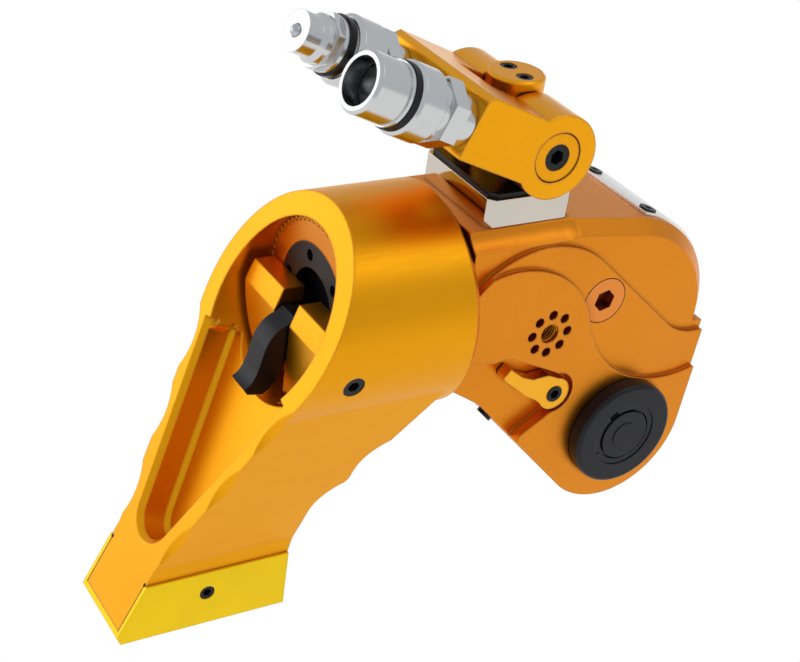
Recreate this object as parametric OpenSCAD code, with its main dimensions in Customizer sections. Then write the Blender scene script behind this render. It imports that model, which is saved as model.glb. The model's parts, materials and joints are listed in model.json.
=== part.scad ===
// Square-drive hydraulic torque wrench with a splined reaction arm and a two-axis hose swivel.
// Millimetres. +X to the rear, -Y to the capped side, +Z up.
// Origin on the drive axis at the middle plane of the housing.

/* [Housing] */
// Half width of the housing over its raised side plates
body_half_w = 33; // [32.5:0.5:35]
// Depth of each step on the side faces
step_depth = 2; // [1.2:0.2:2.4]
// Radius of the rounded drive end
drive_end_r = 33; // [32.5:0.5:35]
// Height of the cylinder axis above the drive axis
cyl_z = 59; // [58:0.5:61]
// Height of the flat top above the cylinder axis
top_rise = 35; // [34:0.5:37]
// Radius of the rounded rear crown
crown_r = 45; // [44:0.5:47]
// Half width of the inner chamber
chamber_half_w = 15.5; // [15.3:0.1:16.5]

/* [Cylinder] */
// Number of spline teeth
spline_teeth = 60; // [48:4:72]
// Radius of the cylinder bore
bore_r = 21; // [20:0.25:21.5]
// Radius of the piston rod
rod_r = 11; // [10.5:0.25:11.5]
// Length of the barrel in front of the shoulder
barrel_len = 47.5; // [46:0.5:49]

/* [Drive] */
// Width across the flats of the square drive
square_af = 25.4; // [24:0.1:26]
// Length of the square drive beyond the housing
square_len = 27; // [24:1:32]
// Swing of the drive lever to each side of upright, degrees
half_swing = 14; // [12:0.5:14]
// Number of ratchet teeth
ratchet_teeth = 30; // [24:2:36]
// Radius over the ratchet teeth
ratchet_r = 22.2; // [22:0.1:22.5]
// Radius of the retainer cap
cap_r = 22.5; // [22:0.25:24]
// Height of the retainer cap
cap_h = 6.2; // [6:0.1:7.5]

/* [Reaction arm] */
// Outer radius of the sleeve
sleeve_r = 42; // [41:0.5:44]
// Lean of the arm's front face from upright, degrees
front_tilt = 26.4; // [25:0.2:28]
// Distance from the drive axis to the front face at the cylinder axis
front_reach = 144.6; // [143:0.5:147]
// Depth of the pocket in the arm's front face
pocket_depth = 13; // [11:0.5:14]
// Depth of the scallops along the arm's edges
scallop_depth = 1.9; // [1.5:0.1:2.4]
// Half width of the reaction shoe
shoe_half_w = 17.5; // [17:0.5:19]
// Thickness of the shoe's cheeks
cheek_t = 2; // [1.75:0.25:3]
// Drop of the shoe's lower face below the drive axis
shoe_drop = 62; // [60:0.5:65]

/* [Swivel] */
// Upward pitch of the couplers, degrees
pitch = 23.8; // [15:0.2:35]
// Height of the pivot axis above the housing's top
pivot_rise = 30; // [29.5:0.5:33]
// Radius of the yoke's ears
ear_r = 16; // [15:0.25:16.4]
// Half width of the yoke
yoke_half_w = 32; // [31:0.5:34]
// Half distance between the coupler axes
coupler_half_gap = 22.3; // [21.5:0.1:23]
// Radius of the swivel post
post_r = 10.7; // [10.3:0.1:11.2]

/* [Fits] */
// Radial clearance of running fits
run_fit = 0.05; // [0.02:0.01:0.08]
// Clearance between parts that move past each other
free_gap = 0.3; // [0.3:0.05:0.4]

/* [Hidden] */
$fn = 64;

gold = [0.86, 0.5, 0.06];
yellow = [0.98, 0.8, 0.05];
black = [0.05, 0.05, 0.06];
silver = [0.8, 0.81, 0.82];
steel = [0.55, 0.56, 0.58];
copper = [0.72, 0.38, 0.2];
bronze = [0.7, 0.5, 0.25];

// Overrun of cutting bodies past the faces they cut
cut = 1;
// Depth by which a straight edge runs inside the arc that it joins
tuck = 0.02;
// Reach of cutting bodies that only need to be large
far = 140;

// Housing stations
shoulder_x = -80;
spline_r = body_half_w;
barrel_end = shoulder_x - barrel_len;
top_z = cyl_z + top_rise;
side_mid = body_half_w - step_depth;
side_low = body_half_w - 2 * step_depth;
crown_c = [-8, cyl_z - 14];
slope_start = [-35, top_z];
belly = [-66, cyl_z - 38];
chin = [shoulder_x, cyl_z - 29];

// Point where the line from p touches the circle at c; side is 1 or -1
function touch(p, c, r, side) =
  let (v = c - p, d = norm(v), a = atan2(v[1], v[0]) + side * asin(r / d), l = sqrt(d * d - r * r))
  p + l * [cos(a), sin(a)];
// Points round a circle with evenly spaced trapezoid teeth
function spline_pts(n, r_root, r_tip, half_tip, half_root) =
  [for (i = [0 : n - 1]) let (a = i * 360 / n) each [
    r_root * [cos(a - half_root), sin(a - half_root)],
    r_tip * [cos(a - half_tip), sin(a - half_tip)],
    r_tip * [cos(a + half_tip), sin(a + half_tip)],
    r_root * [cos(a + half_root), sin(a + half_root)]]];
// Points of a saw-toothed wheel
function saw_pts(n, r_root, r_tip) =
  [for (i = [0 : n - 1]) let (a = i * 360 / n) each [
    r_tip * [cos(a), sin(a)],
    r_root * [cos(a + 40 / n), sin(a + 40 / n)]]];
// Points on a cubic curve with four control points
function curve(a, b, c, d, n) =
  [for (i = [0 : n]) let (t = i / n, s = 1 - t)
    s * s * s * a + 3 * s * s * t * b + 3 * s * t * t * c + t * t * t * d];

crown_top = touch(slope_start, crown_c, crown_r - tuck, 1);
drive_low = touch(belly, [0, 0], drive_end_r - tuck, -1);
crown_turn = atan2(-crown_c[1], -crown_c[0]) + acos((crown_r - drive_end_r) / norm(crown_c));
crown_rear = crown_c + (crown_r - tuck) * [cos(crown_turn), sin(crown_turn)];
drive_rear = (drive_end_r - tuck) * [cos(crown_turn), sin(crown_turn)];

// Curves of the side steps
mid_c = [-48, cyl_z - 11.5];
mid_r = 39.5;
mid_turn = 49.3;
mid_floor = cyl_z - 21.5;
mid_touch = mid_c + (mid_r - tuck) * [cos(mid_turn), sin(mid_turn)];
mid_dir = [cos(mid_turn - 90), sin(mid_turn - 90)];
mid_corner = mid_touch + (mid_touch[1] - mid_floor) / cos(mid_turn) * mid_dir;
mid_fillet = 25;
mid_fillet_len = mid_fillet / tan(90 - (90 - mid_turn) / 2);
inner_c = [-61, cyl_z - 17];
inner_r = 38;
hollow_c = [21, cyl_z + 8];
hollow_r = norm(hollow_c - inner_c) - inner_r + tuck;
inner_touch = inner_c + inner_r * (hollow_c - inner_c) / norm(hollow_c - inner_c);

// Side features
plug_pos = [-18.1, cyl_z + 1.1];
plug_r = 9.45;
plug_t = 8;
handle_pos = [-42.9, cyl_z - 8];
handle_thread_r = 4;
handle_thread_len = 14;
handle_pcd = 16;
handle_hole_r = 2;
handle_hole_len = 8;
pawl_pos = [-35.2, 23];
pawl_shaft_r = 4;
lever_pocket = 5.5;
belly_screw_r = 3.2;
belly_screw_len = 8;
shaft_grip = 5;

// Cylinder stations
spline_depth = 1.4;
spline_len = 22;
spline_gap = 0.2;
spline_root = 0.3;
nut_r = 24;
nut_t = 8;
nut_bore_r = 14.5;
nut_web = 2.5;
nut_hole_ring = 19.3;
nut_hole_r = 2.2;
nut_hole_len = 5;
gland_x = -62;
gland_t = 12;
rod_pass_r = 14;

// Drive stations
chamber_r = 26.3;
chamber_x = 28;
chamber_top = cyl_z + 13;
window_z = cyl_z - 12;
bush_in_r = 18;
hub_r = bush_in_r - run_fit;
bush_out_r = 21;
hub_end = 24;
shaft_spline_r = 14;
shaft_root_r = 12.6;
tail_r = 11;
collar_r = 17.5;
collar_len = 2;
square_corner_r = square_af * 0.68;
square_chamfer = 2;
lever_len = cyl_z;
plate_in = 9.3;
plate_t = chamber_half_w - plate_in - 0.7;
plate_hub_r = 25;
plate_eye_r = 11;
rod_pin_r = 5;
ratchet_half_w = 9;
ratchet_root = ratchet_r - 2.6;

// Arm stations
sleeve_rear = shoulder_x - 0.5;
sleeve_bore_r = spline_r + 0.4;
shoe_top = -38;
shoe_rear_x = -135;
shoe_base_t = 5;
toe_chamfer = 3;
arm_rear_top = [-87.2, cyl_z - 21];
arm_rear_low = [-131.5, -21.5];
taper_top = [36, cyl_z - 21];
taper_low = [shoe_half_w - 1, -32];
scallop_r = 32;

// Swivel stations
swivel_x = -54.5;
base_half_x = 18.5;
base_half_y = 22.8;
base_t = 11;
seal_t = 2;
base_corner = 2.5;
seal_inset = 1;
seal_corner = 3;
pivot_z = top_z + pivot_rise;
post_top = pivot_z + 19.5;
spigot_r = 8.5;
spigot_floor = 3;
post_chamfer = 0.8;
pivot_r = 7;
yoke_front = 40;
yoke_up = 10.8;
yoke_down = 13;
yoke_chamfer = 2;
bridge_in = 23.8;
coupler_drop = 2.5;
coupler_len = 44.5;
port_r = 8;
port_len = 12;

// Extrude a side drawing (x, z) from y0 to y1
module plate(y0, y1) {
  translate([0, y1, 0]) rotate([90, 0, 0]) linear_extrude(y1 - y0) children();
}
// Extrude a cross drawing (y, z) from x0 to x1
module along_x(x0, x1) {
  translate([x0, 0, 0]) rotate([90, 0, 90]) linear_extrude(x1 - x0) children();
}
// Round bar along X on the cylinder axis
module bar_x(x0, x1, r) {
  translate([x0, 0, cyl_z]) rotate([0, 90, 0]) cylinder(h = x1 - x0, r = r);
}
// Round bar along Y
module bar_y(y0, y1, r, pos = [0, 0]) {
  translate([pos[0], y0, pos[1]]) rotate([-90, 0, 0]) cylinder(h = y1 - y0, r = r);
}
// Round bar along Z
module bar_z(z0, z1, r) {
  translate([0, 0, z0]) cylinder(h = z1 - z0, r = r);
}
// Hexagonal bar along Z, af across flats
module hex_z(z0, z1, af) {
  translate([0, 0, z0]) cylinder(h = z1 - z0, r = af / sqrt(3), $fn = 6);
}
// Wire radius of the light springs
spring_wire = 0.45;
// Coil of round wire along Z, built from half turns
module coil(r, wire, pitch, turns) {
  lean = atan(pitch / 4 / r);
  for (i = [0 : turns - 1]) {
    translate([0, 0, (i + 0.25) * pitch]) rotate([0, lean, 0]) rotate_extrude(angle = 180)
      translate([r / cos(lean), 0]) circle(wire);
    translate([0, 0, (i + 0.75) * pitch]) rotate([0, -lean, 0]) rotate([0, 0, 180])
      rotate_extrude(angle = 180) translate([r / cos(lean), 0]) circle(wire);
  }
}
// Socket screw along Z with its face at z = 0 and its shank below
module socket_screw(r, len, socket) {
  difference() {
    bar_z(-len, 0, r);
    hex_z(-len * 0.6, cut, socket);
  }
}
// Frame of the arm's sloping front face: local z up the slope, local x into the arm
module on_front() {
  translate([-front_reach, 0, cyl_z]) rotate([0, front_tilt, 0]) children();
}
// Frame of the yoke: origin on the pivot, local -x towards the couplers
module at_yoke() {
  translate([swivel_x, 0, pivot_z]) rotate([0, pitch, 0]) children();
}
// Frame of a coupler: local z out of the yoke's front face; side is -1 or 1
module at_coupler(side) {
  at_yoke() translate([-yoke_front, side * coupler_half_gap, -coupler_drop]) rotate([0, -90, 0]) children();
}
// Frame of the drive lever at rest, leaning to the front
module at_lever() {
  rotate([0, -half_swing, 0]) children();
}

module housing_outline() {
  circle(drive_end_r);
  translate(crown_c) circle(crown_r);
  polygon([[shoulder_x, top_z], slope_start, crown_top, crown_rear, drive_rear, drive_low, belly, chin]);
}
module mid_region() {
  translate(mid_c) circle(mid_r);
  polygon([mid_c, mid_touch, mid_corner, [far, mid_floor], [far, -far], [-far, -far], [-far, mid_c[1]]]);
  difference() {
    polygon([mid_corner - mid_fillet_len * mid_dir, mid_corner, mid_corner + [mid_fillet_len, 0]]);
    translate(mid_corner + [mid_fillet_len, mid_fillet]) circle(mid_fillet + tuck);
  }
}
module inner_region() {
  translate(inner_c) circle(inner_r);
  difference() {
    polygon([inner_c, inner_touch, [far, inner_touch[1]], [far, -far], [-far, -far], [-far, inner_c[1]]]);
    translate(hollow_c) circle(hollow_r);
  }
}
module chamber_outline() {
  circle(chamber_r);
  polygon([[-chamber_x, 0], [chamber_x, 0], [chamber_x, window_z], [far, window_z], [far, chamber_top],
    [-chamber_x, chamber_top]]);
  translate(pawl_pos) circle(10);
  polygon([[-45.2, 20], [-41.5, 31], [-15, 20], [-20, -15], [-35, -4.5], [-41.8, 9]]);
}
module lever_pocket_outline() {
  translate(pawl_pos) circle(9);
  polygon([[shoulder_x - 10, 46], [-66, 42.5], [-61, 43.3], [-57.5, 42.6], [-41.8, 35.4], [-31.4, 30.4],
    pawl_pos, [-33, 15], [-47, 6], [-56, -10], [-100, 10]]);
}
module barrel_spline(grow, half_tip, half_root) {
  translate([0, cyl_z]) polygon(spline_pts(spline_teeth, spline_r - spline_depth + grow,
    spline_r + max(grow, 0), half_tip, half_root));
}
module crown_bevel() {
  // Sloping edge round the crown and along the top behind the swivel
  bevel = 5;
  intersection() {
    difference() {
      bar_y(side_low - bevel - cut, side_low + cut, crown_r + 10, crown_c);
      translate([crown_c[0], side_low + 2 * cut, crown_c[1]]) rotate([90, 0, 0])
        cylinder(h = bevel + 4 * cut, r1 = crown_r - bevel - 2 * cut, r2 = crown_r + 2 * cut);
    }
    plate(0, far) polygon([crown_c, crown_c + 2 * (crown_top - crown_c), [far, far],
      crown_c + 2 * (crown_rear - crown_c)]);
  }
  run = norm(crown_top - slope_start);
  lean = atan2(slope_start[1] - crown_top[1], crown_top[0] - slope_start[0]);
  translate([slope_start[0], side_low, top_z]) rotate([0, lean, 0]) translate([0, -bevel, 0])
    rotate([45, 0, 0]) translate([0, 0, -far]) cube([run + 4 * cut, far, far]);
}
module top_scoop() {
  scoop_r = 14;
  translate([shoulder_x - cut, body_half_w + 3, top_z + 6]) rotate([0, 90, 0])
    cylinder(h = slope_start[0] - shoulder_x - 4, r = scoop_r);
  translate([slope_start[0] - 5, body_half_w + 3, top_z + 6]) sphere(r = scoop_r);
}
module side_steps() {
  plate(-side_low, side_low) housing_outline();
  plate(-side_mid, side_mid) intersection() {
    housing_outline();
    mid_region();
  }
  plate(-body_half_w, body_half_w) intersection() {
    housing_outline();
    mid_region();
    inner_region();
  }
}

module housing() {
  color(gold) difference() {
    union() {
      side_steps();
      bar_x(barrel_end, shoulder_x + 10, spline_r - spline_depth);
      along_x(barrel_end, barrel_end + spline_len) barrel_spline(-spline_root, 1.2, 1.95);
      bar_x(barrel_end + spline_len + 3, shoulder_x + 10, spline_r);
    }
    for (s = [0, 1]) mirror([0, s, 0]) {
      top_scoop();
      crown_bevel();
    }
    plate(-chamber_half_w, chamber_half_w) chamber_outline();
    bar_x(barrel_end - cut, barrel_end + nut_t, nut_r);
    bar_x(barrel_end, gland_x + gland_t, bore_r);
    bar_x(gland_x, -chamber_x + cut, rod_pass_r);
    bar_y(-body_half_w - cut, body_half_w + cut, bush_out_r);
    bar_y(-side_mid - cut, -side_mid + plug_t, plug_r, plug_pos);
    bar_y(-side_mid, 0, rod_pin_r + 1, plug_pos);
    bar_y(-body_half_w - cut, -body_half_w + handle_thread_len, handle_thread_r, handle_pos);
    for (a = [0 : 45 : 315])
      bar_y(-body_half_w - cut, -body_half_w + handle_hole_len, handle_hole_r,
        handle_pos + handle_pcd / 2 * [cos(a), sin(a)]);
    plate(-body_half_w - cut, -body_half_w + lever_pocket) lever_pocket_outline();
    bar_y(-body_half_w, chamber_half_w + shaft_grip + free_gap, pawl_shaft_r + run_fit, pawl_pos);
    at_belly_screw() bar_z(-belly_screw_len, cut, belly_screw_r);
    shroud_body(free_gap);
    at_shroud_screws() bar_z(-shroud_screw_len, cut, shroud_screw_r);
  }
}
module access_plug() {
  color(copper) difference() {
    bar_y(-side_mid, -side_mid + plug_t, plug_r, plug_pos);
    translate([plug_pos[0], -side_mid + 4.5, plug_pos[1]]) rotate([90, 0, 0]) rotate([0, 0, 15])
      hex_z(0, 6, 8);
  }
}
// Frame of the small screw in the sloping belly face
module at_belly_screw() {
  fall = atan2(belly[1] - drive_low[1], drive_low[0] - belly[0]);
  translate([belly[0], -side_low + 6, belly[1]]) rotate([0, fall, 0]) translate([11, 0, 0])
    rotate([180, 0, 0]) children();
}
module belly_screw() {
  color(black) at_belly_screw() difference() {
    bar_z(-belly_screw_len, 1.6, belly_screw_r);
    hex_z(-2, 3, 3);
  }
}
// Curved plate over the chamber's rear window
shroud_half_w = 21.5;
shroud_in = crown_r - 2;
shroud_out = crown_r + 1.2;
shroud_screw_r = 2.2;
shroud_screw_len = 12;
shroud_head_r = 3.4;
shroud_head_sink = 1.2;
shroud_head_rise = 0.6;
module shroud_body(gap) {
  intersection() {
    difference() {
      bar_y(-shroud_half_w - gap, shroud_half_w + gap, shroud_out + gap * 10, crown_c);
      bar_y(-far, far, shroud_in, crown_c);
    }
    plate(-far, far) polygon([crown_c, crown_c + 90 * [cos(78 + gap), sin(78 + gap)],
      crown_c + 90 * [cos(35), sin(35)], crown_c + 90 * [cos(-3 - gap), sin(-3 - gap)]]);
  }
}
// Frames of the four shroud screws, local z out of the plate
module at_shroud_screws() {
  for (a = [73, 1.5]) for (y = [-1, 1])
    translate([crown_c[0], y * (shroud_half_w - 4), crown_c[1]]) rotate([0, 90 - a, 0])
      translate([0, 0, shroud_out]) children();
}
module shroud() {
  color(silver) difference() {
    shroud_body(0);
    at_shroud_screws() {
      bar_z(-shroud_screw_len, cut, shroud_screw_r);
      bar_z(-shroud_head_sink, cut, shroud_head_r);
    }
  }
}
module shroud_screws() {
  color(black) at_shroud_screws() difference() {
    union() {
      bar_z(-shroud_screw_len, 0, shroud_screw_r);
      bar_z(-shroud_head_sink, shroud_head_rise, shroud_head_r);
    }
    hex_z(-shroud_head_sink / 2, cut, 2.5);
  }
}
module end_nut() {
  color(black) difference() {
    bar_x(barrel_end, barrel_end + nut_t, nut_r);
    bar_x(barrel_end - cut, barrel_end + nut_t - nut_web, nut_bore_r);
    for (a = [15 : 60 : 345])
      translate([0, nut_hole_ring * sin(a), nut_hole_ring * cos(a)])
        bar_x(barrel_end - cut, barrel_end + nut_hole_len, nut_hole_r);
  }
}

// Latch that keeps the arm on the splines
latch_r = spline_r - spline_depth - 1.2;
latch_t = 11.5;
latch_front = barrel_end - latch_t;
latch_chord = cyl_z + 5.6;
latch_strip = 8.3;
latch_slot = 6.2;
latch_web = 2;
latch_web_top = cyl_z - 11;
latch_tail = 8;
latch_half_w = 5.2;
latch_pin_r = 2;
latch_pin_half = 14;
latch_hub_r = 3.4;
latch_pivot = [barrel_end - 6.6, cyl_z - 4];
module latch_block() {
  color(gold) difference() {
    bar_x(latch_front, barrel_end, latch_r);
    translate([latch_front - cut, -far / 2, latch_chord]) cube([far, far, far]);
    plate(-far, far) polygon([[latch_front, latch_chord - latch_strip], [latch_front + 3, latch_chord],
      [latch_front + 3, latch_chord + 9], [latch_front - 9, latch_chord + 9],
      [latch_front - 9, latch_chord - latch_strip]]);
    translate([latch_front - cut, -latch_slot, cyl_z - far / 2])
      cube([latch_t - latch_web + cut, 2 * latch_slot, far]);
    translate([latch_front - cut, -latch_slot, latch_web_top]) cube([far, 2 * latch_slot, far]);
    bar_y(-latch_pin_half, latch_pin_half, latch_pin_r, latch_pivot);
  }
}
module latch_pin() {
  color(steel) bar_y(-latch_pin_half, latch_pin_half, latch_pin_r, latch_pivot);
}
latch_tip = latch_pivot + [-20, -23.1];
latch_heel = latch_pivot + [-12.2, -26.2];
module latch_lever() {
  top_run = curve(latch_pivot + [-4.6, 1.6], latch_pivot + [-17.5, -2.8],
    latch_pivot + [-11.2, -18.2], latch_tip, 16);
  low_run = curve(latch_heel, latch_pivot + [-3, -19],
    latch_pivot + [-5.5, -8], latch_pivot + [1.2, -2.6], 10);
  color(black) difference() {
    union() {
      plate(-latch_half_w, latch_half_w)
        polygon(concat([latch_pivot + [latch_tail, -1.6], latch_pivot + [latch_tail, 2.6],
          latch_pivot + [-2.2, 3.6]], top_run,
          [latch_tip + [1.4, -2.2], latch_heel + [-4, 0.4]], low_run));
      bar_y(-latch_half_w, latch_half_w, latch_hub_r, latch_pivot);
    }
    bar_y(-far, far, latch_pin_r + run_fit, latch_pivot);
  }
}
latch_spring_z = cyl_z - 16;
module latch_spring() {
  color(steel) translate([barrel_end - latch_web - spring_wire, 0, latch_spring_z]) rotate([0, -90, 0])
    coil(2.4, spring_wire, 1.5, 4);
}

// Reaction arm
function front_x(z) = -front_reach - (cyl_z - z) * tan(front_tilt);
function taper_w(z) =
  taper_low[0] + (z - taper_low[1]) * (taper_top[0] - taper_low[0]) / (taper_top[1] - taper_low[1]);
rear_slope = atan2(arm_rear_top[0] - arm_rear_low[0], arm_rear_top[1] - arm_rear_low[1]);
taper_slope = atan((taper_top[0] - taper_low[0]) / (taper_top[1] - taper_low[1]));
front_scallops = [32.5, 7.5, -19.5];
rear_scallops = [7, -12];
// Cutter laid across an edge; tilt follows the edge, out is -1 for the front edge and 1 for the rear
module scallop(pos, tilt, out) {
  translate(pos) rotate([0, tilt, 0]) rotate([-taper_slope, 0, 0]) rotate([0, 0, out * 45])
    translate([0, scallop_r - scallop_depth, 0]) rotate([0, 90, 0])
    cylinder(h = 60, r = scallop_r, center = true);
}
module front_scallop_cuts() {
  for (s = [0, 1]) mirror([0, s, 0]) for (z = front_scallops)
    scallop([front_x(z), taper_w(z), z], front_tilt, 1);
}
module rear_scallop_cuts() {
  for (s = [0, 1]) mirror([0, s, 0]) for (z = rear_scallops)
    scallop([arm_rear_low[0] + (z - arm_rear_low[1]) * tan(rear_slope), taper_w(z), z], rear_slope, -1);
}
module arm_side() {
  polygon([[-2 * far, cyl_z], [-2 * far, shoe_base_t - shoe_drop],
    [shoe_rear_x, shoe_base_t - shoe_drop], [shoe_rear_x, shoe_top], arm_rear_low, arm_rear_top,
    [arm_rear_top[0], cyl_z]]);
}
module arm_front() {
  foot_w = shoe_half_w - cheek_t;
  polygon([[-taper_top[0], taper_top[1]], [-taper_low[0], taper_low[1]], [-taper_low[0], shoe_top],
    [-foot_w, shoe_top], [-foot_w, -far], [foot_w, -far], [foot_w, shoe_top], [taper_low[0], shoe_top],
    [taper_low[0], taper_low[1]], [taper_top[0], taper_top[1]], [taper_top[0], cyl_z],
    [-taper_top[0], cyl_z]]);
}
pocket_top = [29.3, -22.3];
pocket_end = [0, -86.3];
pocket_end_r = 10;
pocket_chamfer = 2;
pocket_bevel = 1.8;
pocket_mouth = 12;
pocket_side = touch(pocket_top, pocket_end, pocket_end_r - tuck, 1);
pocket_run = pocket_top - pocket_side;
pocket_lean = atan(pocket_run[0] / pocket_run[1]);
// Outline of the pocket, drawn in by inset
module pocket_outline(inset) {
  draw = inset * [cos(pocket_lean), -sin(pocket_lean)];
  top = pocket_top - draw;
  side = pocket_side - draw;
  translate(pocket_end) circle(pocket_end_r - inset);
  polygon([[-top[0], top[1]], [-pocket_mouth, 0], [pocket_mouth, 0], top, side, pocket_end,
    [-side[0], side[1]]]);
}
// Strip along both straight sides of the pocket; its drawing is (depth, outwards)
module pocket_strips() {
  for (s = [0, 1]) mirror([0, s, 0]) translate([0, pocket_side[0], pocket_side[1]])
    rotate([-pocket_lean, 0, 0]) linear_extrude(norm(pocket_run) + 4) children();
}
module arm_pocket() {
  over = 2;
  wall = pocket_depth - pocket_bevel;
  on_front() {
    translate([-cut, 0, 0]) rotate([90, 0, 90]) linear_extrude(wall + cut) pocket_outline(0);
    translate([-cut, 0, 0]) rotate([90, 0, 90]) linear_extrude(pocket_depth + cut)
      pocket_outline(pocket_bevel);
    pocket_strips() polygon([[-cut, pocket_chamfer + cut], [-cut, -over], [pocket_chamfer + over, -over]]);
    pocket_strips() polygon([[wall, 0], [pocket_depth, -pocket_bevel], [pocket_depth, -pocket_bevel - over],
      [wall - over, -pocket_bevel - over], [wall - over, 0]]);
    translate([0, 0, pocket_end[1]]) rotate([0, 90, 0]) {
      translate([0, 0, -cut]) cylinder(h = pocket_chamfer + cut + over,
        r1 = pocket_end_r + pocket_chamfer + cut, r2 = pocket_end_r - over);
      translate([0, 0, wall])
        cylinder(h = pocket_bevel, r1 = pocket_end_r, r2 = pocket_end_r - pocket_bevel);
    }
  }
}
set_screw_x = -131;
set_screw_r = 4.2;
set_screw_sink = 0.4;
set_screw_gap = 0.6;
set_screw_web = 3;
set_screw_len = sleeve_r - sleeve_bore_r - set_screw_gap;
// Frame of the set screw in the sleeve's side, local z outwards
module at_set_screw() {
  translate([set_screw_x, 0, cyl_z]) rotate([102, 0, 0]) translate([0, 0, sleeve_r]) children();
}
module reaction_arm() {
  rear_chamfer = 3;
  color(gold) difference() {
    union() {
      bar_x(-2 * far, sleeve_rear - rear_chamfer, sleeve_r);
      translate([sleeve_rear - rear_chamfer, 0, cyl_z]) rotate([0, 90, 0])
        cylinder(h = rear_chamfer, r1 = sleeve_r, r2 = sleeve_r - rear_chamfer);
      difference() {
        intersection() {
          plate(-far, far) arm_side();
          along_x(-2 * far, 0) arm_front();
        }
        rear_scallop_cuts();
      }
    }
    on_front() translate([-2 * far, -far, -2 * far]) cube([2 * far, 2 * far, 4 * far]);
    front_scallop_cuts();
    bar_x(-2 * far, barrel_end, sleeve_bore_r);
    bar_x(barrel_end + spline_len + 1, 0, sleeve_bore_r);
    along_x(barrel_end - cut, barrel_end + spline_len + 2) barrel_spline(spline_gap, 1.55, 2.15);
    arm_pocket();
    at_set_screw() bar_z(-20, 4, set_screw_r);
    at_shoe_screws() bar_z(-shoe_screw_len, cut, shoe_screw_r);
  }
}
module arm_set_screw() {
  color(black) at_set_screw() difference() {
    bar_z(-set_screw_len, -set_screw_sink, set_screw_r);
    hex_z(set_screw_web - set_screw_len, cut, 4);
  }
}
shoe_screw_r = 3;
shoe_screw_len = 9;
shoe_screw_pos = [-168, -47.5];
// Frames of the shoe's two side screws, local z outwards
module at_shoe_screws() {
  for (s = [0, 1]) mirror([0, s, 0])
    translate([shoe_screw_pos[0], -shoe_half_w, shoe_screw_pos[1]]) rotate([90, 0, 0]) children();
}
module reaction_shoe() {
  foot_w = shoe_half_w - cheek_t;
  color(yellow) difference() {
    plate(-shoe_half_w, shoe_half_w) polygon([[front_x(shoe_top), shoe_top],
      [front_x(toe_chamfer - shoe_drop), toe_chamfer - shoe_drop],
      [front_x(-shoe_drop) + toe_chamfer, -shoe_drop], [shoe_rear_x, -shoe_drop], [shoe_rear_x, shoe_top]]);
    plate(-foot_w, foot_w) polygon([[-2 * far, far], [-2 * far, shoe_base_t - shoe_drop],
      [far, shoe_base_t - shoe_drop], [far, far]]);
    at_shoe_screws() bar_z(-shoe_screw_len, cut, shoe_screw_r);
  }
}
module shoe_screws() {
  color(black) at_shoe_screws() translate([0, 0, -0.2]) socket_screw(shoe_screw_r, shoe_screw_len - 0.2, 3);
}

// Cylinder inside
piston_x = -118;
piston_t = 14;
pin_rest = lever_len * [-sin(half_swing), cos(half_swing)];
tongue_half_w = 8.6;
tongue_back = 17;
slot_gap = 0.4;
tongue_front = 10;
ring_at = 5;
ring_t = 4;
ring_deep = 3.5;
ring_fit = 0.02;
module piston_rod() {
  drop = lever_len * (1 - cos(half_swing));
  color(steel) difference() {
    union() {
      bar_x(piston_x, piston_x + piston_t, bore_r - run_fit);
      bar_x(piston_x + 2, pin_rest[0] - tongue_back, rod_r);
      intersection() {
        bar_x(piston_x + 2, pin_rest[0] + tongue_front, rod_r);
        translate([-far, -tongue_half_w, 0]) cube([2 * far, 2 * tongue_half_w, far]);
      }
    }
    difference() {
      bar_x(piston_x + ring_at, piston_x + ring_at + ring_t, bore_r + cut);
      bar_x(piston_x, piston_x + piston_t, bore_r - ring_deep);
    }
    plate(-far, far) {
      translate([pin_rest[0], cyl_z - drop]) circle(rod_pin_r + slot_gap);
      translate([pin_rest[0], cyl_z]) circle(rod_pin_r + slot_gap);
      translate([pin_rest[0] - rod_pin_r - slot_gap, cyl_z - drop])
        square([2 * rod_pin_r + 2 * slot_gap, drop]);
    }
  }
}
module piston_seal() {
  color(black) difference() {
    bar_x(piston_x + ring_at, piston_x + ring_at + ring_t, bore_r - ring_fit);
    bar_x(piston_x, piston_x + piston_t, bore_r - ring_deep);
  }
}
module rod_gland() {
  color(bronze) difference() {
    bar_x(gland_x, gland_x + gland_t, bore_r);
    bar_x(gland_x - cut, gland_x + gland_t + cut, rod_r + run_fit);
  }
}

// Drive lever
plate_turn = asin((plate_hub_r - plate_eye_r) / lever_len);
guide_pin = [0, 31];
spring_bar = [0, 44];
guide_r = 3;
spring_bar_r = 2;
module lever_outline() {
  difference() {
    union() {
      circle(plate_hub_r);
      translate([0, lever_len]) circle(plate_eye_r);
      polygon([(plate_hub_r - tuck) * [cos(plate_turn), sin(plate_turn)],
        [0, lever_len] + (plate_eye_r - tuck) * [cos(plate_turn), sin(plate_turn)],
        [0, lever_len] + (plate_eye_r - tuck) * [-cos(plate_turn), sin(plate_turn)],
        (plate_hub_r - tuck) * [-cos(plate_turn), sin(plate_turn)]]);
    }
    circle(bush_in_r);
    translate([0, lever_len]) circle(rod_pin_r);
    translate(guide_pin) circle(guide_r);
    translate(spring_bar) circle(spring_bar_r);
  }
}
module drive_plates() {
  color(steel) at_lever() for (s = [0, 1]) mirror([0, s, 0])
    plate(plate_in, plate_in + plate_t) lever_outline();
}
module rod_pin() {
  color(steel) at_lever() bar_y(-plate_in - plate_t, plate_in + plate_t, rod_pin_r, [0, lever_len]);
}
module pawl_pins() {
  color(steel) at_lever() {
    bar_y(-plate_in - plate_t, plate_in + plate_t, guide_r, guide_pin);
    bar_y(-plate_in - plate_t, plate_in + plate_t, spring_bar_r, spring_bar);
  }
}
pawl_lift = 2.5;
pawl_top = 37;
pawl_half_w = 8.5;
pawl_half_t = 7;
nose_half_t = 4;
nose_top = ratchet_r + 1;
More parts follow.
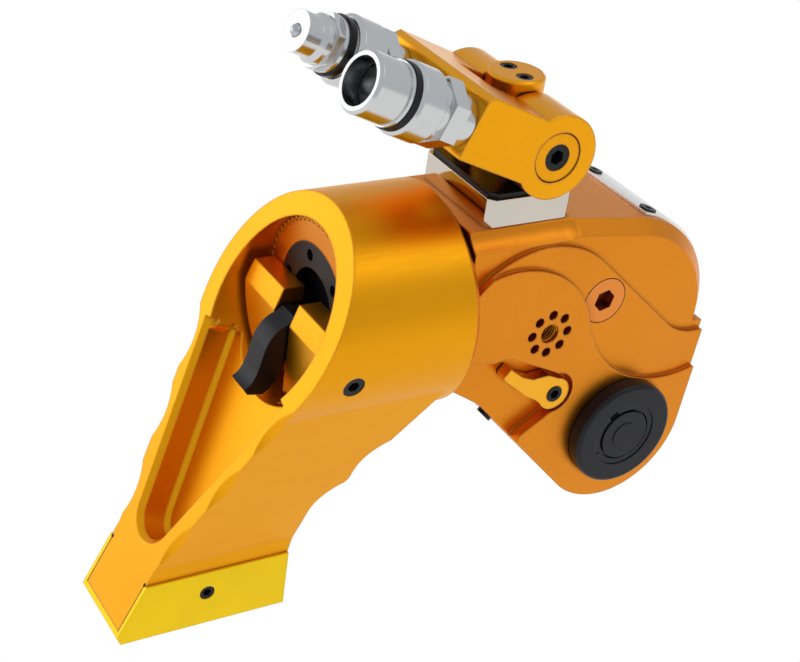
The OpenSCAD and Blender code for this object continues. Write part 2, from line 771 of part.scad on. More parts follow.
tooth_play = 0.25;
tooth_bite = 1.6;
module drive_pawl() {
  guide_hole = guide_r + free_gap;
  color(steel) at_lever() plate(-pawl_half_w, pawl_half_w) difference() {
    union() {
      translate([-pawl_half_t, nose_top]) square([2 * pawl_half_t, pawl_top - nose_top]);
      translate([-nose_half_t, 0]) square([2 * nose_half_t, pawl_top]);
    }
    polygon(saw_pts(ratchet_teeth, ratchet_root + tooth_play, ratchet_r + tooth_play));
    circle(ratchet_r - tooth_bite);
    translate(guide_pin) circle(guide_hole);
    translate(guide_pin - [0, pawl_lift + free_gap]) circle(guide_hole);
    translate(guide_pin - [guide_hole, pawl_lift + free_gap]) square([2 * guide_hole, pawl_lift + free_gap]);
  }
}
module drive_pawl_spring() {
  color(steel) at_lever() translate([0, 0, pawl_top + 0.5]) coil(3, 0.5, 1.2, 3);
}
module ratchet() {
  color(steel) difference() {
    union() {
      rotate([0, -half_swing, 0]) plate(-ratchet_half_w, ratchet_half_w)
        polygon(saw_pts(ratchet_teeth, ratchet_root, ratchet_r));
      bar_y(-hub_end, hub_end, hub_r);
    }
    plate(-far, far) polygon(spline_pts(18, shaft_root_r + run_fit, shaft_spline_r + run_fit, 4.2, 6.2));
  }
}
module bushings() {
  color(bronze) for (s = [0, 1]) mirror([0, s, 0]) difference() {
    bar_y(chamber_half_w, body_half_w, bush_out_r);
    bar_y(0, far, bush_in_r);
  }
}
cap_face = -body_half_w - free_gap - cap_h;
cap_web = 3;
tail_end = cap_face + cap_web;
button_r = 5.5;
button_flange = 6.3;
button_travel = 2.5;
well_len = 7.4;
button_proud = 0.3;
flange_t = 1.4;
module square_drive() {
  color(steel) difference() {
    union() {
      plate(-hub_end, hub_end) polygon(spline_pts(18, shaft_root_r, shaft_spline_r, 4, 6));
      bar_y(hub_end, body_half_w + collar_len, collar_r);
      intersection() {
        translate([-square_af / 2, body_half_w, -square_af / 2]) cube([square_af, square_len, square_af]);
        union() {
          bar_y(body_half_w, body_half_w + square_len - square_chamfer, square_corner_r);
          translate([0, body_half_w + square_len - square_chamfer, 0]) rotate([-90, 0, 0])
            cylinder(h = square_chamfer, r1 = square_corner_r, r2 = square_corner_r - square_chamfer);
        }
      }
      bar_y(tail_end, -hub_end, tail_r);
    }
    bar_y(tail_end - cut, tail_end + well_len, button_flange + run_fit);
  }
}
clip_groove = [10.6, 14];
clip_depth = 1.6;
clip_sink = 0.4;
clip_room = 0.9;
clip_gap = 2;
module retainer_cap() {
  rim = 1.8;
  color(black) difference() {
    union() {
      bar_y(cap_face, -body_half_w - free_gap, cap_r - rim);
      bar_y(cap_face + rim, -body_half_w - free_gap, cap_r);
      translate([0, cap_face + rim, 0]) rotate([-90, 0, 0]) rotate_extrude()
        translate([cap_r - rim, 0]) circle(rim);
    }
    bar_y(tail_end, 0, tail_r);
    bar_y(cap_face - cut, 0, button_r + run_fit);
    difference() {
      bar_y(cap_face - cut, cap_face + clip_depth, clip_groove[1]);
      bar_y(cap_face - 2 * cut, 0, clip_groove[0]);
    }
  }
}
module retainer_clip() {
  color(black) difference() {
    bar_y(cap_face + clip_sink, cap_face + clip_depth, clip_groove[1]);
    bar_y(cap_face - cut, 0, clip_groove[0] + clip_room);
    rotate([0, 55, 0]) translate([-far, -far, -clip_gap]) cube([far, 2 * far, 2 * clip_gap]);
  }
}
module retainer_button() {
  color(black) {
    bar_y(cap_face - button_proud, tail_end + cut, button_r);
    bar_y(tail_end, tail_end + flange_t, button_flange);
  }
}
module button_spring() {
  color(steel) translate([0, tail_end + flange_t + spring_wire, 0]) rotate([-90, 0, 0])
    coil(4.6, spring_wire, 1.7, 3);
}

// Holding pawl and its release lever
tip_gap = 0.5;
module reaction_pawl() {
  color(steel) plate(-pawl_half_w, pawl_half_w) difference() {
    union() {
      translate(pawl_pos) circle(7.5);
      polygon([pawl_pos + [-7.4, -1], pawl_pos + [-3.5, -14], pawl_pos + [5, -25], pawl_pos + [11, -25.5],
        pawl_pos + [10.4, -21], pawl_pos + [4.5, -15], pawl_pos + [7.3, -1]]);
    }
    circle(ratchet_r + tip_gap);
    translate(pawl_pos) circle(pawl_shaft_r);
  }
}
lever_in = -body_half_w + lever_pocket - free_gap;
lever_out = -body_half_w - 0.4;
module pawl_shaft() {
  color(steel) bar_y(lever_out + shaft_grip, chamber_half_w + shaft_grip, pawl_shaft_r, pawl_pos);
}
lever_boss_r = 6.8;
lever_screw_r = 3.3;
screw_proud = 0.3;
module release_lever() {
  tip = pawl_pos + [-24, 13.6];
  color(gold) difference() {
    plate(lever_out, lever_in) {
      translate(pawl_pos) circle(lever_boss_r);
      polygon([pawl_pos + [-4, 8.9], pawl_pos + [-11.2, 8.5], pawl_pos + [-16.6, 10.6], tip + [1.2, 1.6],
        tip + [-1.2, -1.2], tip + [-0.9, -2.7], pawl_pos + [-13.3, 1.6], pawl_pos + [-8.5, -1.1],
        pawl_pos + [-3, -6], pawl_pos + [4, 5.4]]);
    }
    bar_y(lever_out + shaft_grip, 0, pawl_shaft_r, pawl_pos);
    bar_y(lever_out - cut, lever_out + shaft_grip, lever_screw_r, pawl_pos);
  }
}
module lever_screw() {
  color(black) translate([pawl_pos[0], lever_out - screw_proud, pawl_pos[1]]) rotate([90, 0, 0])
    socket_screw(lever_screw_r, shaft_grip + screw_proud, 3.5);
}

// Swivel
module base_plan(hx, hy, corner) {
  polygon([[-hx + corner, -hy], [hx - corner, -hy], [hx, -hy + corner], [hx, hy - corner], [hx - corner, hy],
    [-hx + corner, hy], [-hx, hy - corner], [-hx, -hy + corner]]);
}
module swivel_base() {
  color(silver) translate([swivel_x, 0, 0]) difference() {
    translate([0, 0, top_z]) linear_extrude(base_t) base_plan(base_half_x, base_half_y, base_corner);
    bar_z(top_z + spigot_floor, top_z + base_t + cut, spigot_r + run_fit);
  }
}
module swivel_seal() {
  color(black) translate([swivel_x, 0, 0]) difference() {
    translate([0, 0, top_z + base_t]) linear_extrude(seal_t)
      base_plan(base_half_x - seal_inset, base_half_y - seal_inset, seal_corner);
    bar_z(top_z, top_z + far, post_r + run_fit);
  }
}
plug_gap = 5.2;
post_plug_r = 3.2;
post_plug_len = 6;
plug_sink = 0.2;
module swivel_post() {
  color(gold) difference() {
    translate([swivel_x, 0, 0]) {
      bar_z(top_z + spigot_floor + free_gap, top_z + base_t + cut, spigot_r);
      bar_z(top_z + base_t + run_fit, post_top - post_chamfer, post_r);
      translate([0, 0, post_top - post_chamfer])
        cylinder(h = post_chamfer, r1 = post_r, r2 = post_r - post_chamfer);
    }
    bar_y(-far, far, pivot_r + run_fit, [swivel_x, pivot_z]);
    for (s = [-1, 1]) translate([swivel_x, s * plug_gap, 0])
      bar_z(post_top - post_plug_len, post_top + cut, post_plug_r);
  }
}
module post_plugs() {
  color(black) for (s = [-1, 1]) translate([swivel_x, s * plug_gap, post_top - plug_sink])
    socket_screw(post_plug_r, post_plug_len - plug_sink, 3.2);
}
pin_head_r = 9.2;
pin_head_t = 3;
pin_head_gap = 0.4;
pin_head_sink = 0.3;
pin_in = 4;
pivot_screw_r = 5.1;
pivot_screw_len = 8;
pivot_screw_sink = 0.6;
post_gap = 0.6;
module yoke() {
  color(gold) at_yoke() difference() {
    plate(-yoke_half_w, yoke_half_w) {
      circle(ear_r);
      polygon([[-yoke_front, -yoke_down], [0, -yoke_down], [0, yoke_up],
        [-yoke_front + yoke_chamfer, yoke_up], [-yoke_front, yoke_up - yoke_chamfer]]);
    }
    translate([-bridge_in, -post_r - post_gap, -far]) cube([far, 2 * (post_r + post_gap), 2 * far]);
    bar_y(-far, far, pivot_r);
    for (s = [0, 1]) mirror([0, s, 0]) bar_y(yoke_half_w - pin_head_t, far, pin_head_r + pin_head_gap);
    for (s = [-1, 1]) translate([-yoke_front - cut, s * coupler_half_gap, -coupler_drop])
      rotate([0, 90, 0]) cylinder(h = port_len + cut, r = port_r);
  }
}
module pivot_pins() {
  color(gold) at_yoke() for (s = [0, 1]) mirror([0, s, 0]) difference() {
    union() {
      bar_y(pin_in, yoke_half_w - pin_head_t, pivot_r);
      bar_y(yoke_half_w - pin_head_t, yoke_half_w - pin_head_sink, pin_head_r);
    }
    bar_y(yoke_half_w - pivot_screw_len, far, pivot_screw_r);
  }
}
module pivot_screws() {
  color(black) at_yoke() for (s = [0, 1]) mirror([0, s, 0])
    translate([0, yoke_half_w - pivot_screw_sink, 0]) rotate([-90, 0, 0])
      socket_screw(pivot_screw_r, pivot_screw_len - pivot_screw_sink, 5);
}

// Couplers, stations along their own axis from the yoke's front face
hex_af = 22;
neck_r = 9.5;
neck_len = 6;
flow_r = 5;
edge = 1;

// Female coupler
female_hex = 12.5;
female_core_r = 10.6;
collar_out_r = 13;
collar_rear = 16.4;
collar_front = 27.5;
ring_rear = 27.8;
nose_rear = 30;
female_ring_r = 12;
nose_r = 11;
nose_lip = 1.5;
socket_r = 8.5;
poppet_seat_r = 8;
poppet_floor = 18;
poppet_t = 3;
poppet_r = 4;
poppet_gap = 1;
poppet_ball = nose_rear - poppet_r - poppet_gap;
module female_body() {
  color(silver) at_coupler(-1) difference() {
    union() {
      bar_z(-port_len, neck_len, port_r);
      bar_z(0, neck_len, neck_r);
      hex_z(neck_len, female_hex, hex_af);
      bar_z(female_hex, nose_rear, female_core_r);
    }
    bar_z(-port_len - cut, far, flow_r);
    bar_z(poppet_floor, far, poppet_seat_r);
  }
}
module female_collar() {
  color(silver) at_coupler(-1) difference() {
    union() {
      bar_z(collar_rear + edge, collar_front - edge, collar_out_r);
      translate([0, 0, collar_rear]) cylinder(h = edge, r1 = collar_out_r - edge, r2 = collar_out_r);
      translate([0, 0, collar_front - edge]) cylinder(h = edge, r1 = collar_out_r, r2 = collar_out_r - edge);
    }
    bar_z(0, far, female_core_r + run_fit);
  }
}
module female_ring() {
  color(black) at_coupler(-1) difference() {
    bar_z(ring_rear, nose_rear, female_ring_r);
    bar_z(0, far, female_core_r);
  }
}
module female_nose() {
  color(silver) at_coupler(-1) difference() {
    union() {
      bar_z(nose_rear, nose_rear + nose_lip, female_core_r + edge);
      bar_z(nose_rear, coupler_len - edge, nose_r);
      translate([0, 0, coupler_len - edge]) cylinder(h = edge, r1 = nose_r, r2 = nose_r - edge);
    }
    bar_z(0, far, socket_r);
  }
}
module female_poppet() {
  color(steel) at_coupler(-1) {
    bar_z(poppet_floor, poppet_floor + poppet_t, poppet_seat_r);
    bar_z(poppet_floor, poppet_ball, poppet_r);
    translate([0, 0, poppet_ball]) sphere(r = poppet_r);
  }
}

// Male coupler
male_hex = 12.5;
male_core_r = 10.5;
male_core_end = 31;
lock_r = 13;
lock_rear = 14;
lock_front = 25.5;
lock_bevel = 1.5;
male_seal_r = 11.3;
male_seal_rear = 26.5;
male_seal_front = 29;
stem_r = 9;
stem_hex = 18.5;
stem_hex_end = 34;
tip_len = 8;
tip_bevel = 2;
tip_r = 7.6;
ball_r = 2.5;
ball_sink = 0.6;
ball_stem_r = 2.3;
ball_bore_len = 9;
module male_body() {
  color(silver) at_coupler(1) difference() {
    union() {
      bar_z(-port_len, neck_len, port_r);
      bar_z(0, neck_len, neck_r);
      hex_z(neck_len, male_hex, hex_af);
      bar_z(male_hex, male_core_end, male_core_r);
      bar_z(male_core_end, coupler_len - tip_len, stem_r);
      hex_z(male_core_end, stem_hex_end, stem_hex);
      translate([0, 0, coupler_len - tip_len]) cylinder(h = tip_bevel, r1 = stem_r, r2 = tip_r);
      bar_z(coupler_len - tip_len, coupler_len, tip_r);
    }
    bar_z(coupler_len - ball_bore_len, far, ball_r + run_fit);
  }
}
module male_ring() {
  color(silver) at_coupler(1) difference() {
    union() {
      bar_z(lock_rear, lock_front - lock_bevel, lock_r);
      translate([0, 0, lock_front - lock_bevel])
        cylinder(h = lock_bevel, r1 = lock_r, r2 = lock_r - lock_bevel);
    }
    bar_z(0, far, male_core_r);
  }
}
module male_seal() {
  color(black) at_coupler(1) difference() {
    bar_z(male_seal_rear, male_seal_front, male_seal_r);
    bar_z(0, far, male_core_r);
  }
}
module male_ball() {
  color(steel) at_coupler(1) {
    translate([0, 0, coupler_len - ball_sink]) sphere(r = ball_r);
    bar_z(coupler_len - ball_bore_len, coupler_len - ball_sink, ball_stem_r);
  }
}

housing();
access_plug();
belly_screw();
shroud();
shroud_screws();
end_nut();
latch_block();
latch_pin();
latch_lever();
latch_spring();
reaction_arm();
arm_set_screw();
reaction_shoe();
shoe_screws();
piston_rod();
piston_seal();
rod_gland();
drive_plates();
rod_pin();
pawl_pins();
drive_pawl();
drive_pawl_spring();
ratchet();
bushings();
square_drive();
retainer_cap();
retainer_clip();
retainer_button();
button_spring();
reaction_pawl();
pawl_shaft();
release_lever();
lever_screw();
swivel_base();
swivel_seal();
swivel_post();
post_plugs();
yoke();
pivot_pins();
pivot_screws();
female_body();
female_collar();
female_ring();
female_nose();
female_poppet();
male_body();
male_ring();
male_seal();
male_ball();
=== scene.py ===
import json
import math

import bpy
from mathutils import Matrix, Vector

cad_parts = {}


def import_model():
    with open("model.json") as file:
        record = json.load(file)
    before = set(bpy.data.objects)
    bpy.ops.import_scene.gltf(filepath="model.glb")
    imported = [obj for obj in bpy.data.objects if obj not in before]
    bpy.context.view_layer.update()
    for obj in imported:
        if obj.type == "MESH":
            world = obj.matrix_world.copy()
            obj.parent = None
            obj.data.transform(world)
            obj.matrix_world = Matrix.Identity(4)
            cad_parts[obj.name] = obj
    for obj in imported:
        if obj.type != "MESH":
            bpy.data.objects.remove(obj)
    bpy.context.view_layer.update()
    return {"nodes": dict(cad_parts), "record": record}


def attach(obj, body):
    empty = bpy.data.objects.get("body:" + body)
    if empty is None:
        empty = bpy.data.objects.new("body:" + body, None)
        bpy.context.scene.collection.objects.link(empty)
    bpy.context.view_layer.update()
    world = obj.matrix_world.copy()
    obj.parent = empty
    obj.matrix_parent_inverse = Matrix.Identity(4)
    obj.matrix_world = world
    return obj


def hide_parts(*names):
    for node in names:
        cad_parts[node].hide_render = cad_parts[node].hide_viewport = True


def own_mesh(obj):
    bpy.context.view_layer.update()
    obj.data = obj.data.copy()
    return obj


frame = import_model()
NODES = frame["nodes"]
SLOT = {p["node"]: p["material_slot"] for p in frame["record"]["subparts"]}
MM = 0.001

# Colours, linear
GOLD = (0.92, 0.40, 0.008)
GOLD_DEEP = (0.72, 0.275, 0.0055)
GOLD_SHADE = (0.20, 0.055, 0.004)
# Darker, more orange copies of the gold for the housing: painted shade for the darker reflection on its sides
HOUSING_SHADED_GOLD = (0.79, 0.27, 0.017)
HOUSING_SHADED_DEEP = (0.61, 0.185, 0.011)
LEVER_GOLD = (0.97, 0.47, 0.031)
YELLOW = (1.0, 0.67, 0.006)
BLACK = (0.0045, 0.005, 0.0075)
RUBBED = (0.07, 0.07, 0.08)
SEAL = (0.003, 0.003, 0.0035)
SEAL_PALE = (0.008, 0.008, 0.009)
SILVER = (0.60, 0.55, 0.48)
BRUSHED = (0.90, 0.89, 0.87)
ZINC = (0.62, 0.63, 0.63)
STEEL = (0.52, 0.53, 0.55)
COPPER = (0.81, 0.265, 0.05)
BRONZE = (0.62, 0.37, 0.135)
FLOOR = (0.88, 0.87, 0.85)
SKY = (0.9, 0.92, 0.95)

# Stretch of the fine tool lines: long along the axis with the smallest number
ALONG_X = (1.0, 24.0, 24.0)
ALONG_Y = (24.0, 1.0, 24.0)
EVEN = (8.0, 8.0, 8.0)


# Materials, lengths in metres


def scaled(colour, share):
    return tuple(share * c for c in colour)


# Lighter tint of a colour, used as a painted highlight on sharp edges
def highlight_tint(colour):
    return tuple(min(1.0, 0.12 + 0.95 * c) for c in colour)


class Tree:
    """A node material with short calls for the nodes that the finishes share."""

    def __init__(self, name, radius=0.0004):
        self.mat = bpy.data.materials.new(name)
        self.mat.use_nodes = True
        self.nodes = self.mat.node_tree.nodes
        self.links = self.mat.node_tree.links
        self.shader = self.nodes["Principled BSDF"]
        self.place = self.add("ShaderNodeTexCoord").outputs["Object"]
        self.soft = self.rounded(radius)

    def add(self, kind, **values):
        node = self.nodes.new(kind)
        for key, value in values.items():
            setattr(node, key, value)
        return node

    def put(self, socket, value):
        """Links a socket to another, or gives it a plain value."""
        if isinstance(value, bpy.types.NodeSocket):
            self.links.new(value, socket)
        else:
            socket.default_value = value

    def set(self, **inputs):
        """Shader inputs by name, with _ for each space."""
        for key, value in inputs.items():
            self.put(self.shader.inputs[key.replace("_", " ")], value)

    def stretch(self, scale):
        node = self.add("ShaderNodeMapping")
        self.put(node.inputs["Vector"], self.place)
        node.inputs["Scale"].default_value = scale
        return node.outputs["Vector"]

    def noise(self, scale, detail, rough=0.5, at=None):
        node = self.add("ShaderNodeTexNoise")
        self.put(node.inputs["Vector"], at or self.place)
        node.inputs["Scale"].default_value = scale
        node.inputs["Detail"].default_value = detail
        node.inputs["Roughness"].default_value = rough
        return node.outputs["Fac"]

    def span(self, value, low, high, start=0.3, end=0.7):
        """Value spread from start..end, the middle of a noise, to low..high."""
        node = self.add("ShaderNodeMapRange")
        self.put(node.inputs["Value"], value)
        node.inputs["From Min"].default_value = start
        node.inputs["From Max"].default_value = end
        node.inputs["To Min"].default_value = low
        node.inputs["To Max"].default_value = high
        return node.outputs["Result"]

    def math(self, how, a, b):
        node = self.add("ShaderNodeMath", operation=how)
        self.put(node.inputs[0], a)
        self.put(node.inputs[1], b)
        return node.outputs[0]

    def mix(self, share, a, b):
        node = self.add("ShaderNodeMix", data_type="RGBA", blend_type="MIX")
        self.put(node.inputs["Factor"], share)
        self.put(node.inputs["A"], (*a, 1) if isinstance(a, tuple) else a)
        self.put(node.inputs["B"], (*b, 1) if isinstance(b, tuple) else b)
        return node.outputs["Result"]

    def rounded(self, radius):
        """Normal with sharp edges rounded off by radius, one node for each material."""
        node = self.add("ShaderNodeBevel", samples=5)
        node.inputs["Radius"].default_value = radius
        return node.outputs["Normal"]

    def edges(self, most):
        """Share that rises to most on sharp edges."""
        flat = self.add("ShaderNodeNewGeometry").outputs["Normal"]
        dot = self.add("ShaderNodeVectorMath", operation="DOT_PRODUCT")
        self.put(dot.inputs[0], self.soft)
        self.put(dot.inputs[1], flat)
        return self.span(dot.outputs["Value"], most, 0.0, start=0.82, end=0.995)

    def crease_shade(self, reach, most):
        """Share of painted shade that rises to most in inner corners within reach."""
        node = self.add("ShaderNodeAmbientOcclusion", samples=6)
        node.inputs["Distance"].default_value = reach
        return self.span(node.outputs["AO"], most, 0.0, start=0.35, end=0.9)

    def bump(self, height, strength, distance):
        node = self.add("ShaderNodeBump")
        self.put(node.inputs["Height"], height)
        self.put(node.inputs["Normal"], self.soft)
        node.inputs["Strength"].default_value = strength
        node.inputs["Distance"].default_value = distance
        self.put(self.shader.inputs["Normal"], node.outputs["Normal"])


def anodised(name, light, deep, rough, grain=EVEN, radius=0.0011):
    """Satin anodised aluminium: slow tone drift, fine tool lines along grain, a painted highlight of lighter
    tint on sharp edges, painted shade in inner corners.
    """
    t = Tree(name, radius)
    drift = t.noise(scale=22.0, detail=3.0)
    lines = t.noise(scale=60.0, detail=4.0, rough=0.6, at=t.stretch(grain))
    speck = t.noise(scale=2600.0, detail=2.0)
    tone = t.mix(t.span(drift, 0.0, 0.25), light, deep)
    tone = t.mix(t.span(lines, 0.0, 0.08), tone, deep)
    # Painted highlight: sharp edges take a lighter tint of the gold
    tone = t.mix(t.edges(most=0.22), tone, highlight_tint(light))
    # Painted shade: inner corners darkened towards GOLD_SHADE
    tone = t.mix(t.crease_shade(reach=0.0022, most=0.8), tone, GOLD_SHADE)
    t.set(Base_Color=tone, Metallic=1.0)
    worn = t.span(lines, rough - 0.03, rough + 0.03)
    t.set(Roughness=t.math("ADD", worn, t.span(speck, -0.02, 0.02)))
    height = t.math("ADD", t.math("MULTIPLY", lines, 0.4), t.math("MULTIPLY", speck, 0.3))
    t.bump(height, strength=0.02, distance=0.00005)
    return t.mat


def painted(name, colour, rough):
    """Satin metallic coating with a faint orange-peel and a few dull marks."""
    t = Tree(name, radius=0.0006)
    peel = t.noise(scale=900.0, detail=2.0)
    marks = t.noise(scale=45.0, detail=5.0, rough=0.6)
    t.set(Base_Color=t.mix(t.span(marks, 0.0, 0.10), colour, scaled(colour, 0.8)))
    t.set(Roughness=t.span(marks, rough - 0.05, rough + 0.08))
    t.set(Metallic=0.72, Specular_IOR_Level=0.3)
    t.bump(peel, strength=0.04, distance=0.0001)
    return t.mat


def blackened(name, colour, rough):
    """Black oxide steel: oily sheen, fine grain, grey rub on the edges."""
    t = Tree(name)
    cloud = t.noise(scale=110.0, detail=5.0, rough=0.6)
    grain = t.noise(scale=1500.0, detail=2.0)
    tone = t.mix(t.span(cloud, 0.0, 0.5), colour, scaled(colour, 1.8))
    tone = t.mix(t.edges(most=0.3), tone, RUBBED)
    t.set(Base_Color=tone, Roughness=t.span(cloud, rough - 0.07, rough + 0.08))
    t.set(Metallic=0.0, Specular_IOR_Level=0.26)
    t.bump(grain, strength=0.10, distance=0.00006)
    return t.mat


def bright(name, colour, rough, grain=EVEN, dark=0.0):
    """Bare or plated bright metal with faint lines along grain; dark is how much painted shade darkens deep
    corners.
    """
    t = Tree(name)
    lines = t.noise(scale=70.0, detail=4.0, rough=0.6, at=t.stretch(grain))
    cloud = t.noise(scale=60.0, detail=4.0)
    tone = t.mix(t.span(cloud, 0.0, 0.35), colour, scaled(colour, 0.9))
    # Painted shade: deep corners darkened towards a near-black copy of the colour
    if dark:
        tone = t.mix(t.crease_shade(reach=0.006, most=dark), tone, scaled(colour, 0.04))
    t.set(Base_Color=tone, Metallic=1.0)
    brushed = t.span(lines, 0.88 * rough, 1.15 * rough)
    t.set(Roughness=t.math("ADD", brushed, t.span(cloud, -0.01, 0.02)))
    t.bump(lines, strength=0.03, distance=0.00004)
    return t.mat


def rubber(name):
    """Black seal with a soft gloss."""
    t = Tree(name)
    cloud = t.noise(scale=160.0, detail=4.0)
    t.set(Base_Color=t.mix(t.span(cloud, 0.0, 1.0), SEAL, SEAL_PALE))
    t.set(Roughness=t.span(cloud, 0.16, 0.30), Specular_IOR_Level=0.22)
    t.bump(t.noise(scale=1200.0, detail=2.0), strength=0.06, distance=0.00005)
    return t.mat


FINISH = {
    "gold_anodised": anodised("gold anodised", GOLD, GOLD_DEEP, rough=0.36),
    "yellow_shoe": painted("yellow shoe", YELLOW, rough=0.38),
    "black_steel": blackened("black steel", BLACK, rough=0.36),
    "polished_steel": bright("polished steel", SILVER, rough=0.07, grain=ALONG_X),
    "zinc_plate": bright("zinc plate", ZINC, rough=0.19),
    "bare_steel": bright("bare steel", STEEL, rough=0.28),
    # The copper plug gets painted shade in its deep corners
    "copper_plug": bright("copper plug", COPPER, rough=0.30, dark=0.95),
    "bronze": bright("bronze", BRONZE, rough=0.32),
    "black_rubber": rubber("black rubber"),
}
# Nodes whose finish differs from their slot's
NODE_FINISH = {
    # Painted shade: the housing takes the darker copy of the gold
    "housing": anodised("shaded gold housing", HOUSING_SHADED_GOLD, HOUSING_SHADED_DEEP, rough=0.36),
    "yoke": anodised("gold yoke", GOLD, GOLD_DEEP, rough=0.26, radius=0.0016),
    "reaction_arm": anodised("gold arm", GOLD, GOLD_DEEP, rough=0.40, grain=ALONG_X),
    "release_lever": anodised("gold lever", LEVER_GOLD, GOLD, rough=0.34),
    "shroud": bright("brushed shroud", BRUSHED, rough=0.34, grain=ALONG_Y),
}
SMOOTHED = {"latch_lever"}
SMOOTH_DEG = 26.0
WELD = 0.000002


def smooth_tree():
    """Geometry nodes that shade smooth and keep edges above SMOOTH_DEG sharp."""
    tree = bpy.data.node_groups.new("smooth by angle", "GeometryNodeTree")
    tree.interface.new_socket("Geometry", in_out="INPUT", socket_type="NodeSocketGeometry")
    tree.interface.new_socket("Geometry", in_out="OUTPUT", socket_type="NodeSocketGeometry")
    nodes, links = tree.nodes, tree.links
    start, end = nodes.new("NodeGroupInput"), nodes.new("NodeGroupOutput")
    angle = nodes.new("GeometryNodeInputMeshEdgeAngle")
    sharp = nodes.new("FunctionNodeCompare")
    sharp.operation = "GREATER_THAN"
    sharp.inputs["B"].default_value = math.radians(SMOOTH_DEG)
    normal = nodes.new("GeometryNodeSetMeshNormal")
    normal.mode = "SHARPNESS"
    normal.inputs["Remove Custom"].default_value = True
    links.new(angle.outputs["Unsigned Angle"], sharp.inputs["A"])
    links.new(sharp.outputs["Result"], normal.inputs["Edge Sharpness"])
    links.new(start.outputs["Geometry"], normal.inputs["Mesh"])
    links.new(normal.outputs["Mesh"], end.inputs["Geometry"])
    return tree


def finish_nodes():
    """Gives each CAD node its finish, and smooth shading where its facets would show."""
    smooth = smooth_tree()
    for name, obj in NODES.items():
        obj.data.materials.clear()
        obj.data.materials.append(NODE_FINISH.get(name, FINISH[SLOT[name]]))
        if name in SMOOTHED:
            weld = obj.modifiers.new("weld", "WELD")
            weld.merge_threshold = WELD
            obj.modifiers.new("smooth", "NODES").node_group = smooth


finish_nodes()


# Details that are too fine for the solids, in millimetres

PROUD = 0.03  # how far a painted shade line in a joint stands out of its face
SINK = 0.4  # how far it reaches into the face
SEAM_HALF = 0.16


def piece(name, verts, faces, body, slot):
    """A smooth mesh in the frame's place that moves with body and takes slot's finish."""
    mesh = bpy.data.meshes.new(name)
    mesh.from_pydata([Vector(v) * MM for v in verts], [], faces)
    mesh.polygons.foreach_set("use_smooth", [True] * len(mesh.polygons))
    mesh.materials.append(FINISH[slot])
    obj = bpy.data.objects.new(name, mesh)
    bpy.context.scene.collection.objects.link(obj)
    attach(obj, body)


def sweep(name, rings, body, slot, closed):
    """Skin over equal rings of points; closed joins the last ring to the first, else both ends are capped."""
    count, size = len(rings), len(rings[0])
    faces = []
    for i in range(count if closed else count - 1):
        a, b = i * size, (i + 1) % count * size
        faces += [(a + j, a + (j + 1) % size, b + (j + 1) % size, b + j) for j in range(size)]
    if not closed:
        faces += [tuple(range(size))[::-1], tuple(range((count - 1) * size, count * size))]
    piece(name, [v for ring in rings for v in ring], faces, body, slot)


def angles(steps):
    return [2 * math.pi * i / steps for i in range(steps)]


def turned(radius, angle, along, centre):
    """Point round an axis along +Y through centre, given as (x, z)."""
    return (centre[0] + radius * math.cos(angle), along, centre[1] + radius * math.sin(angle))


def handle_thread():
    """Helical ridge on the wall of the M8 handle hole."""
    centre, face, first = (-42.9, 51.0), -33.0, 1.0
    wall, crest, pitch, turns, steps = 4.05, 3.35, 1.25, 9, 48
    root_half, crest_half = 0.42 * pitch, 0.08
    rings = []
    for i in range(turns * steps + 1):
        a = 2 * math.pi * i / steps
        y = face + first + pitch * i / steps
        rings.append([turned(wall, a, y - root_half, centre), turned(crest, a, y - crest_half, centre),
                      turned(crest, a, y + crest_half, centre), turned(wall, a, y + root_half, centre)])
    sweep("handle_thread", rings, "housing", "gold_anodised", closed=False)


def plug_gap():
    """Painted shade: a thin dark ring in the joint round the access plug."""
    centre, face, radius, steps = (-18.1, 60.1), -31.0, 9.45, 96
    inner, outer = radius - SEAM_HALF, radius + SEAM_HALF
    front, back = face - PROUD, face + SINK
    rings = []
    for a in angles(steps):
        rings.append([turned(inner, a, front, centre), turned(outer, a, front, centre),
                      turned(outer, a, back, centre), turned(inner, a, back, centre)])
    sweep("plug_gap", rings, "housing", "black_rubber", closed=True)


def clip_eye_shade():
    """Painted shade: a dark drop-shaped mark for the eye of the ring clip in the cap's face."""
    centre, face, sink, steps = (-11.6, -7.9), -39.2, 0.3, 32
    radius, point, tip = 1.7, 3.4, 11
    radii = [point if i == tip else radius for i in range(steps)]
    rings = []
    for y in (face - PROUD, face + sink):
        rings.append([turned(r, a, y, centre) for r, a in zip(radii, angles(steps))])
    sweep("clip_eye_shade", rings, "drive", "black_rubber", closed=False)


ARM_FRONT = (-144.6, 59.0)
ARM_LEAN = math.radians(26.4)


def front_x(z):
    """X of the arm's sloping front face at height z; ARM_FRONT is an (x, z) on it."""
    return ARM_FRONT[0] - (ARM_FRONT[1] - z) * math.tan(ARM_LEAN)


def painted_shoe_gaps():
    """Painted shade: a thin dark strip in the joint between each cheek of the shoe and the arm's foot, and a
    dark disc for the relief hole at its top.
    """
    top, low, inner, relief, steps = -38.0, -57.0, 15.5, 0.75, 24
    for side in (-1, 1):
        left, right = side * inner - SEAM_HALF, side * inner + SEAM_HALF
        ends = []
        for z in (top, low):
            x = front_x(z) - PROUD
            ends.append([(x, left, z), (x, right, z), (x + SINK, right, z), (x + SINK, left, z)])
        # Painted shade line along the seam
        sweep(f"shoe_gap_shade_{side + 2}", ends, "reaction_arm", "black_rubber", closed=False)
        hole = []
        for depth in (-PROUD, SINK):
            ring = []
            for a in angles(steps):
                z = top + relief * math.sin(a)
                ring.append((front_x(z) + depth, side * inner + relief * math.cos(a), z))
            hole.append(ring)
        # Painted shade disc for the relief hole
        sweep(f"shoe_relief_shade_{side + 2}", hole, "reaction_arm", "black_rubber", closed=False)


